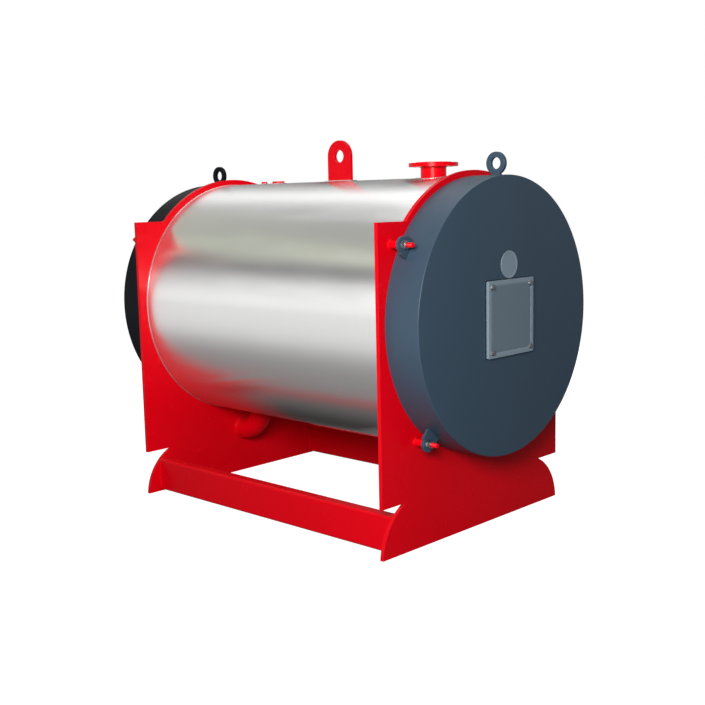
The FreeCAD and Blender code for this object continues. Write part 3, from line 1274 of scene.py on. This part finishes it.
@dataclass
class SaddleFrame:
    """Two tube plates and the skid rails between them."""

    plate_edge: float = 1.6 * MM
    corner: float = 12 * MM

    def build(self) -> None:
        """Model the plates, the rails and the beads that join them."""
        for end in End:
            node = f"{end.label}_tube_plate"
            refine(node, f"{end.label}_saddle_plate", RED, self.plate_edge, angle=28)
        beads = []
        for side in ("left", "right"):
            node = f"{side}_rail"
            refine(node, f"{side}_skid_rail", RED, angle=32)
            beads += self.rail_beads(Extent.of(node))
        WeldShop.gather(beads, RED)

    def rail_beads(self, rail: Extent) -> list[Bench]:
        """Beads round both ends of one rail.

        Args:
            rail: box of the rail.

        Returns:
            The beads: two upright and one across the top at each end.
        """
        low = rail.low + Vector((self.corner, 0, self.corner))
        high = rail.high - Vector((self.corner, 0, self.corner))
        beads = []
        for y in (rail.low.y, rail.high.y):
            lines = [(Vector((x, y, low.z)), Vector((x, y, high.z)))
                     for x in (rail.low.x, rail.high.x)]
            lines.append((Vector((low.x, y, rail.high.z)), Vector((high.x, y, rail.high.z))))
            beads += [WeldShop().run("rail_weld_beads", *line) for line in lines]
        return beads


@dataclass
class Cladding:
    """Stainless sheets round the insulation, with a lap, end trims, a seam strip and roses."""

    sheet: float = 1.2 * MM
    lap_y: float = 0.262
    lap_step: float = 0.8 * MM
    lap_width: float = 34 * MM
    seam_angle: float = -38.0
    strip_flatness: float = 0.07
    rivet_gap: float = 98 * MM
    rivet_row: float = 9 * MM
    rivet_inset: float = 40 * MM
    trim_width: float = 9 * MM
    clearance: float = 3 * MM
    buckle: float = 0.7 * MM
    rose_sheet: float = 1.2 * MM

    def __post_init__(self) -> None:
        """Take the sheet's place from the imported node."""
        self.box = Extent.of("jacket")
        self.radius = self.box.size.x / 2
        self.axis_z = self.box.centre.z

    def on_axis(self, y: float) -> Vector:
        """Point on the boiler axis."""
        return midplane(y, self.axis_z)

    def build(self) -> None:
        """Model the sheets, the roses, the end trims, the seam strip and its rivets."""
        sheets = self.sheets()
        self.roses()
        sheets.finish(STAINLESS, ["jacket"])
        for end in End:
            self.end_trim(end)
        self.seam()

    def sheets(self) -> Bench:
        """Rolled sheets, lapped once round the boiler and cut out for the nozzles.

        Returns:
            The bench with the sheets.
        """
        low, high = self.box.low.y, self.box.high.y
        radius = self.radius - self.lap_step
        work = Bench.cylinder("cladding_sheets", radius, self.on_axis(low),
                              self.on_axis(high), sides=FULL_ROUND)
        work.edit()
        work.open_ends()
        work.divide_along(Y_AXIS, 38)
        work.cut_rings(self.on_axis(self.lap_y), Y_AXIS, (0.0, 1.2 * MM))
        work.swell(lambda at: at.y < self.lap_y + 0.2 * MM, self.lap_step)
        work.done()
        clouds = bpy.data.textures.new("sheet_buckles", "CLOUDS")
        clouds.noise_scale = 0.42
        work.modify("DISPLACE", texture=clouds, texture_coords="GLOBAL",
                    strength=self.buckle, mid_level=0.9)
        work.modify("SOLIDIFY", thickness=self.sheet, offset=-1, use_even_offset=True)
        work.cut_with(self.cutters())
        work.smooth(30)
        return work

    def cutters(self) -> list[Bench]:
        """Closed tools for the openings of the nozzles, the sockets and the lug.

        Returns:
            The tools.
        """
        tools = []
        for node in ("supply_neck", "vent_socket", "safety_socket"):
            pipe = Extent.of(node)
            foot = midplane(pipe.centre.y, self.axis_z)
            tools.append(Bench.cylinder("cutter", pipe.size.x / 2 + self.clearance, foot,
                                        foot + Z_AXIS * 1.0, sides=72))
        pipe = Extent.of("return_pipe")
        foot = midplane(pipe.low.y + pipe.size.x / 2, self.axis_z)
        tools.append(Bench.cylinder("cutter", pipe.size.x / 2 + 3 * self.clearance, foot,
                                    foot - Z_AXIS * 0.8, sides=72))
        lug = Extent.of("lifting_lug")
        margin = Vector((self.clearance, self.clearance, 0))
        tools.append(Bench.block("cutter", lug.low - margin, lug.high + margin))
        return tools

    def roses(self) -> None:
        """Flat trim rings, bent to the sheet's curve, round the nozzle and the sockets."""
        form = Bench.cylinder("rose_form", self.radius, self.on_axis(self.box.low.y),
                              self.on_axis(self.box.high.y), sides=512)
        for node, width in (("supply_neck", 24 * MM), ("vent_socket", 9 * MM),
                            ("safety_socket", 13 * MM)):
            pipe = Extent.of(node)
            inner = pipe.size.x / 2 + 0.8 * MM
            above = midplane(pipe.centre.y, self.box.high.z + 40 * MM)
            rose = Bench.cylinder(f"{node}_rose", inner + width, above, above + Z_AXIS * MM,
                                  sides=72)
            rose.edit()
            rose.pick_faces(lambda middle, normal: normal.z < 0.5)
            bpy.ops.mesh.delete(type="FACE")
            rose.pick_facing(Z_AXIS)
            for _ in range(3):
                rose.inset(width / 3)
            bpy.ops.mesh.delete(type="FACE")
            rose.done()
            rose.modify("SHRINKWRAP", target=form.piece, wrap_method="PROJECT",
                        use_project_z=True, use_negative_direction=True,
                        use_positive_direction=False, offset=0.4 * MM)
            rose.modify("SOLIDIFY", thickness=self.rose_sheet, offset=1)
            rose.smooth(40)
            rose.finish(STAINLESS)
        bpy.data.objects.remove(form.piece)

    def end_trim(self, end: End) -> None:
        """Rounded trim ring where the sheet meets a tube plate.

        Args:
            end: which end of the boiler.
        """
        start = self.on_axis(self.box.outer(end))
        stop = start - end.outward * self.trim_width
        trim = Bench.cylinder(f"{end.label}_cladding_trim", self.radius + 1.4 * MM, start,
                              stop, sides=FULL_ROUND)
        trim.edit()
        trim.open_ends()
        trim.divide_along(Y_AXIS, 3)
        trim.swell(lambda at: min(abs(at.y - start.y), abs(at.y - stop.y)) < NEAR, -1.2 * MM)
        trim.done()
        trim.modify("SOLIDIFY", thickness=0.9 * MM, offset=-1, use_even_offset=True)
        trim.smooth(50)
        trim.finish(STAINLESS)

    def seam(self) -> None:
        """Flat lap strip low on the boiler's right side, held by two rows of pop rivets."""
        angle = math.radians(self.seam_angle)
        out = Vector((math.cos(angle), 0, math.sin(angle)))
        low = self.box.low.y + 1.5 * self.trim_width
        high = self.box.high.y - 1.5 * self.trim_width
        foot = self.on_axis(low) + out * (self.radius + 0.3 * MM)
        strip = Bench.cylinder("seam_strip", self.lap_width / 2, foot,
                               foot + Y_AXIS * (high - low), sides=16)
        turn = Matrix.Rotation(math.atan2(out.z, out.x), 4, "Y")
        flatten = turn.inverted() @ Matrix.Diagonal((self.strip_flatness, 1, 1, 1)) @ turn
        strip.piece.data.transform(
            Matrix.Translation(foot) @ flatten @ Matrix.Translation(-foot))
        strip.smooth(40)
        strip.finish(STAINLESS)
        self.seam_rivets(foot, out, high - low)

    def seam_rivets(self, foot: Vector, out: Vector, length: float) -> None:
        """Two rows of rivets along the lap strip.

        Args:
            foot: front end of the strip's middle line.
            out: unit direction out of the strip's face.
            length: length of the strip.
        """
        across = out.cross(Y_AXIS) * self.rivet_row
        pattern = self.rivet(foot + Y_AXIS * self.rivet_inset, out)
        head, *rest = [
            pattern.copy("seam_rivets", Matrix.Translation(
                Y_AXIS * index * self.rivet_gap + across * side))
            for index in range(int(length / self.rivet_gap) + 1) for side in (-1, 1)]
        bpy.data.objects.remove(pattern.piece)
        head.join(rest)
        head.finish(ZINC)

    def rivet(self, seat: Vector, out: Vector) -> Bench:
        """Domed pop rivet with the dimple of its mandrel.

        Args:
            seat: where it sits.
            out: unit direction that it stands out in.

        Returns:
            The bench with the rivet.
        """
        head = Bench.cylinder("rivet", 4 * MM, seat + out * 0.6 * MM, seat + out * 2 * MM,
                              sides=16)
        head.edit()
        head.pick_edges(lambda middle, way: (middle - seat).dot(out) > 1.9 * MM)
        head.bevel(1.1 * MM, 2)
        head.pick_facing(out, ALONG)
        head.inset(1.4 * MM)
        head.inset(0.2 * MM, -0.6 * MM)
        head.done()
        head.smooth(35)
        return head


@dataclass
class PipeFlange:
    """Welding neck flange with a raised face and its ring of bolt holes."""

    raised: float = 3 * MM
    face_radius: float = 79 * MM
    bore: float = 52.65 * MM
    bolt_circle: float = 90 * MM
    hole_radius: float = 9 * MM
    holes: int = 8
    groove_width: float = 4 * MM
    groove_depth: float = 0.35 * MM
    edge: float = 0.9 * MM

    def build(self, node: str, out: Vector, name: str) -> None:
        """Model a flange in the place of a packed one.

        Args:
            node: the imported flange.
            out: unit direction that its face looks in.
            name: name of the new piece.
        """
        box = Extent.of(node)
        reach = abs(box.size.dot(out)) / 2
        back = box.centre - out * reach
        face = box.centre + out * reach
        radius = box.size.x / 2
        disc = Bench.cylinder(name, radius, back, face - out * self.raised, sides=128)
        disc.edit()
        disc.pick_facing(out)
        disc.inset(radius - self.face_radius)
        disc.extrude(out * self.raised)
        for way in (-1, 1, -1):
            disc.inset(self.groove_width, way * self.groove_depth)
        disc.done()
        cuts = [Bench.cylinder("bore", self.bore, back - out * MM, face + out * MM)]
        up = out.cross(X_AXIS)
        for index in range(self.holes):
            angle = 2 * math.pi * (index + 0.5) / self.holes
            place = (X_AXIS * math.cos(angle) + up * math.sin(angle)) * self.bolt_circle
            cuts.append(Bench.cylinder("hole", self.hole_radius, back + place - out * MM,
                                       face + place + out * MM, sides=32))
        disc.cut_with(cuts)
        disc.knit()
        disc.soften(self.edge)
        disc.smooth(30)
        disc.finish(RED, [node])


@dataclass
class Pipework:
    """Supply nozzle, return pipe and the two threaded sockets."""

    bend_radius: float = 152 * MM
    bend_weld: float = 2.2 * MM
    socket_edge: float = 1.2 * MM

    def build(self) -> None:
        """Model the flanges, girth welds and sockets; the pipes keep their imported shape."""
        flange = PipeFlange()
        flange.build("supply_flange", Z_AXIS, "supply_nozzle_flange")
        flange.build("return_flange", Y_AXIS, "return_pipe_flange")
        self.supply_welds()
        self.return_welds()
        for node in ("vent_socket", "safety_socket"):
            refine(node, f"{node}_body", RED, self.socket_edge)

    def supply_welds(self) -> None:
        """Bead under the supply flange."""
        flange = Extent.of("supply_flange")
        neck = Extent.of("supply_neck")
        centre = midplane(flange.centre.y, flange.low.z)
        bead = WeldShop().ring("supply_flange_weld", centre, Z_AXIS, neck.size.x / 2)
        bead.smooth(60)
        bead.finish(RED)

    def return_welds(self) -> None:
        """Beads at the return flange, at the bend and where the pipe leaves the plate."""
        pipe = Extent.of("return_pipe")
        flange = Extent.of("return_flange")
        plate = Extent.of("rear_tube_plate")
        radius = pipe.size.x / 2
        start_y, height = pipe.low.y + radius, pipe.low.z + radius
        shop = WeldShop()
        places = [(midplane(flange.low.y, height), Y_AXIS, shop.leg),
                  (midplane(plate.low.y, height), Y_AXIS, shop.leg),
                  (midplane(plate.high.y, height), Y_AXIS, shop.leg),
                  (midplane(start_y, height + self.bend_radius), Z_AXIS, self.bend_weld),
                  (midplane(start_y + self.bend_radius, height), Y_AXIS, self.bend_weld)]
        beads = [shop.ring("return_pipe_welds", centre, axis, radius, leg)
                 for centre, axis, leg in places]
        shop.gather(beads, RED)

@dataclass
class LiftingLug:
    """Lug plate on the shell's back and the trim frame at its foot."""

    edge: float = 2.5 * MM
    collar_edge: float = 0.8 * MM

    def build(self) -> None:
        """Model the lug and its collar."""
        refine("lifting_lug", "lifting_lug_plate", RED, self.edge, 3, 28)
        refine("lug_collar", "lug_collar_frame", STAINLESS, self.collar_edge)


@dataclass
class Door:
    """Round door: a rolled shell with its lifting eye and four clamps."""

    end: End
    paint: Finish
    wall: float = 6 * MM
    edge: float = 4 * MM
    eye_round: float = 4.5 * MM
    eye_shank: float = 20 * MM
    nut_turn: float = math.radians(23)
    ear_edge: float = 1.4 * MM
    ear_bead: float = 38 * MM
    flue_lip: float = 33 * MM

    def __post_init__(self) -> None:
        """Take the door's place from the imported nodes."""
        self.label = self.end.label
        self.rim = Extent.of(f"{self.label}_door_rim")
        self.face = Extent.of(f"{self.label}_door_face")
        self.out = self.end.outward
        self.radius = self.rim.size.x / 2
        self.axis_z = self.rim.centre.z

    def build(self) -> None:
        """Model the shell, the eye and the clamps."""
        self.shell()
        self.eye()
        self.clamps()

    def shell(self) -> None:
        """Pan pressed from rim and face, its outer edge rounded."""
        start = Vector((0, self.rim.inner(self.end), self.axis_z))
        stop = Vector((0, self.face.outer(self.end), self.axis_z))
        pan = Bench.cylinder(f"{self.label}_door_shell", self.radius, start, stop,
                             sides=FULL_ROUND)
        pan.edit()
        pan.pick_end(stop, self.out)
        pan.bevel(self.edge, 4)
        pan.pick_facing(-self.out)
        pan.inset(self.wall)
        pan.extrude(self.out * ((stop - start).length - self.wall))
        pan.done()
        if self.end is End.REAR:
            flue = Extent.of("flue_spigot")
            pan.cut_with([Bench.cylinder(
                "flue_cut", flue.size.x / 2 - self.flue_lip,
                midplane(start.y, flue.centre.z),
                midplane(stop.y + 10 * MM, flue.centre.z))])
        pan.smooth(30)
        pan.finish(self.paint, [f"{self.label}_door_rim", f"{self.label}_door_face"])

    def eye(self) -> None:
        """Forged lifting eye and the beads round its foot."""
        node = f"{self.label}_door_eye"
        refine(node, f"{self.label}_lifting_eye", self.paint, self.eye_round, 3)
        box = Extent.of(node)
        centre = midplane(box.centre.y, self.rim.high.z)
        half, shank = X_AXIS * box.size.x / 2, Y_AXIS * self.eye_shank
        shop = WeldShop(leg=3 * MM)
        beads = []
        for side in (-1, 1):
            for foot, run in ((centre + half * side, shank), (centre + shank * side, half)):
                beads.append(shop.run(f"{self.label}_eye_beads", foot - run, foot + run))
        shop.gather(beads, self.paint)

    def clamps(self) -> None:
        """Studs, ears, nuts and the beads at the ears' roots."""
        nuts = [Extent.of(f"{self.label}_nut_{n}") for n in (1, 2, 3, 4)]
        centres = [nut.centre for nut in nuts]
        foot = Vector((centres[0].x, self.rim.inner(self.end), centres[0].z))
        stud = ThreadedStud().build(f"{self.label}_stud_set", foot, self.out)
        others = [stud.copy("stud", Matrix.Translation(
            Vector((c.x - foot.x, 0, c.z - foot.z)))) for c in centres[1:]]
        stud.join(others)
        stud.finish(RED, [f"{self.label}_studs"])
        seat = Vector((foot.x, nuts[0].inner(self.end), foot.z))
        nut = HexHead(flats=30 * MM, height=16 * MM, washer_radius=18.5 * MM,
                      washer_thickness=3 * MM, bore=9.6 * MM).build("nut", seat, self.out)
        beads = []
        for number, centre in enumerate(centres, 1):
            spin = Matrix.Rotation(number * self.nut_turn, 4, "Y")
            place = (Matrix.Translation(Vector((centre.x, seat.y, centre.z))) @ spin
                     @ Matrix.Translation(-seat))
            piece = nut.copy(f"{self.label}_clamp_nut_{number}", place)
            piece.finish(ZINC, [f"{self.label}_nut_{number}"])
            node = f"{self.label}_ear_{number}"
            refine(node, f"{self.label}_clamp_ear_{number}", self.paint, self.ear_edge)
            beads += self.ear_beads(Extent.of(node), centre)
        bpy.data.objects.remove(nut.piece)
        WeldShop.gather(beads, self.paint)

    def ear_beads(self, ear: Extent, centre: Vector) -> list[Bench]:
        """Beads along both faces of an ear's root.

        Args:
            ear: box of the ear.
            centre: centre of its stud.

        Returns:
            The two beads.
        """
        out = Vector((centre.x, 0, centre.z - self.axis_z)).normalized()
        half = out.cross(Y_AXIS) * self.ear_bead
        shop = WeldShop(leg=3.5 * MM)
        beads = []
        for y in (ear.low.y, ear.high.y):
            root = midplane(y, self.axis_z) + out * (self.radius - 0.4 * MM)
            beads.append(shop.run(f"{self.label}_ear_beads", root - half, root + half))
        return beads


@dataclass
class BurnerCover:
    """Blanking plate on the burner opening, its bolts, and the round cover above it."""

    frame_width: float = 18 * MM
    recess: float = 2 * MM
    shadow_gasket: float = 2 * MM
    margin: float = 3 * MM
    bolt_reach: float = 11 * MM
    bolt_rise: float = 9.5 * MM
    rim_width: float = 7 * MM
    washer: float = 1.5 * MM

    def build(self) -> None:
        """Model the plate, its panel, the black gasket that paints a shadow line round it, the
        bolts and the round cover.
        """
        self.plate()
        self.bolts()
        self.sight()

    def plate(self) -> None:
        """Plate with a sunk middle, its panel and its black gasket, whose border paints a shadow
        line round the plate.
        """
        box = Extent.of("burner_plate")
        plate = Bench.block("burner_blanking_plate", box.low, box.high)
        plate.edit()
        plate.pick_facing(-Y_AXIS)
        plate.inset(self.frame_width)
        plate.inset(self.recess, -self.recess)
        plate.pick_along(Y_AXIS)
        plate.bevel(6 * MM, 4)
        plate.done()
        plate.soften(1.2 * MM, 2)
        plate.smooth(28)
        plate.finish(PLATE_GREY, ["burner_plate"])
        self.shadow_gasket_sheet(box)
        self.panel(box)

    def shadow_gasket_sheet(self, box: Extent) -> None:
        """Thin black gasket between the plate and the door; its border round the plate is a
        painted shadow line.

        Args:
            box: box of the plate.
        """
        margin = Vector((self.margin, 0, self.margin))
        low = Vector((box.low.x, box.high.y - self.shadow_gasket, box.low.z))
        # The black border that stands out round the plate is a painted shadow line.
        shadow_gasket = Bench.block("burner_shadow_gasket", low - margin, box.high + margin)
        shadow_gasket.edit()
        shadow_gasket.pick_along(Y_AXIS)
        shadow_gasket.bevel(7 * MM, 4)
        shadow_gasket.done()
        shadow_gasket.soften(0.5 * MM, 2)
        shadow_gasket.smooth(28)
        shadow_gasket.finish(BLACK)

    def panel(self, box: Extent) -> None:
        """Darker panel that lies in the sunk middle of the plate.

        Args:
            box: box of the plate.
        """
        inset = self.frame_width + 2 * self.recess
        inner = Vector((inset, 0, inset))
        front = box.low.y + self.recess
        panel = Bench.block("burner_plate_panel",
                            Vector((box.low.x, front - 0.8 * MM, box.low.z)) + inner,
                            Vector((box.high.x, front + 0.6 * MM, box.high.z)) - inner)
        panel.soften(0.5 * MM, 2)
        panel.smooth(28)
        panel.finish(PANEL_GREY)

    def bolts(self) -> None:
        """Four hexagon bolts with washers in the plate's corners."""
        box = Extent.of("burner_plate_bolts")
        seat, *seats = [
            Vector((x, box.high.y, z))
            for x in (box.low.x + self.bolt_reach, box.high.x - self.bolt_reach)
            for z in (box.low.z + self.bolt_rise, box.high.z - self.bolt_rise)]
        head = HexHead(flats=19 * MM, height=box.size.y - self.washer,
                       washer_radius=13 * MM, washer_thickness=self.washer)
        first = head.build("burner_plate_bolt_set", seat, -Y_AXIS)
        first.join([first.copy("bolt", Matrix.Translation(place - seat)) for place in seats])
        first.finish(ZINC, ["burner_plate_bolts"])

    def sight(self) -> None:
        """Round cover with a low rim."""
        box = Extent.of("sight_cover")
        cover = Bench.cylinder("sight_hole_cover", box.size.x / 2,
                               midplane(box.high.y, box.centre.z),
                               midplane(box.low.y, box.centre.z))
        cover.edit()
        cover.pick_facing(-Y_AXIS)
        cover.inset(self.rim_width)
        cover.inset(1.5 * MM, -1.2 * MM)
        cover.done()
        cover.soften(0.8 * MM, 2)
        cover.smooth(30)
        cover.finish(PLATE_GREY, ["sight_cover"])


@dataclass
class FlueOutlet:
    """Flue spigot on the rear door, its ring of bolts and the swage near its end."""

    bolts: int = 10
    bolt_radius: float = 140 * MM
    radius: float = 125 * MM
    flange: float = 6 * MM
    swage_inset: float = 22 * MM
    swage_section: float = 3.2 * MM
    swage_foot: float = 2.8 * MM

    def build(self) -> None:
        """Model the spigot, the swage and the bolts."""
        refine("flue_spigot", "flue_spigot_sheet", BLACK, 0.8 * MM)
        box = Extent.of("flue_spigot")
        self.swage(box)
        self.bolt_ring(box)

    def swage(self, box: Extent) -> None:
        """Raised bead round the spigot, closed underneath.

        Args:
            box: box of the spigot.
        """
        swage = Bench.torus("flue_spigot_swage",
                            midplane(box.high.y - self.swage_inset, box.centre.z), Y_AXIS,
                            self.radius, self.swage_section, 128, 12)
        swage.edit()
        swage.pick_faces(lambda centre, normal: math.hypot(
            centre.x, centre.z - box.centre.z) < self.radius - self.swage_foot)
        bpy.ops.mesh.delete(type="FACE")
        bpy.ops.mesh.select_mode(type="EDGE")
        bpy.ops.mesh.select_non_manifold()
        bpy.ops.mesh.bridge_edge_loops()
        swage.done()
        swage.right_side_out()
        swage.smooth(50)
        swage.finish(BLACK)

    def bolt_ring(self, box: Extent) -> None:
        """Ring of small bolts in the spigot's flange.

        Args:
            box: box of the spigot.
        """
        seat = Vector((self.bolt_radius, box.low.y + self.flange, box.centre.z))
        head = HexHead(flats=13 * MM, height=5.5 * MM, washer_radius=9 * MM,
                       washer_thickness=1.5 * MM)
        first = head.build("flue_bolt_set", seat, Y_AXIS)
        to_axis = Matrix.Translation(midplane(0, box.centre.z))
        turns = [Matrix.Rotation(2 * math.pi * index / self.bolts, 4, "Y")
                 for index in range(1, self.bolts)]
        first.join([first.copy("bolt", to_axis @ turn @ to_axis.inverted()) for turn in turns])
        first.finish(ZINC)


NODE_FINISH = {slot.value: finish for slot, finish in (
    (Slot.RED_PAINT, RED), (Slot.CLADDING, STAINLESS), (Slot.DOOR_PAINT, ANTHRACITE),
    (Slot.BLACK_PAINT, BLACK), (Slot.PLATE_GREY, PLATE_GREY), (Slot.ZINC, ZINC),
    (Slot.INSULATION, FIBRE))}


def main() -> None:
    """Build the studio and every sub-assembly."""
    logging.basicConfig(level=logging.INFO, format="%(name)s %(message)s")
    Studio().build()
    for part in frame["record"]["subparts"]:
        dress_node(part["node"], NODE_FINISH[part["material_slot"]])
    for assembly in (SaddleFrame(), Cladding(), Pipework(), LiftingLug(),
                     Door(End.FRONT, ANTHRACITE), Door(End.REAR, BLACK), BurnerCover(),
                     FlueOutlet()):
        assembly.build()


if __name__ == "__main__":
    main()
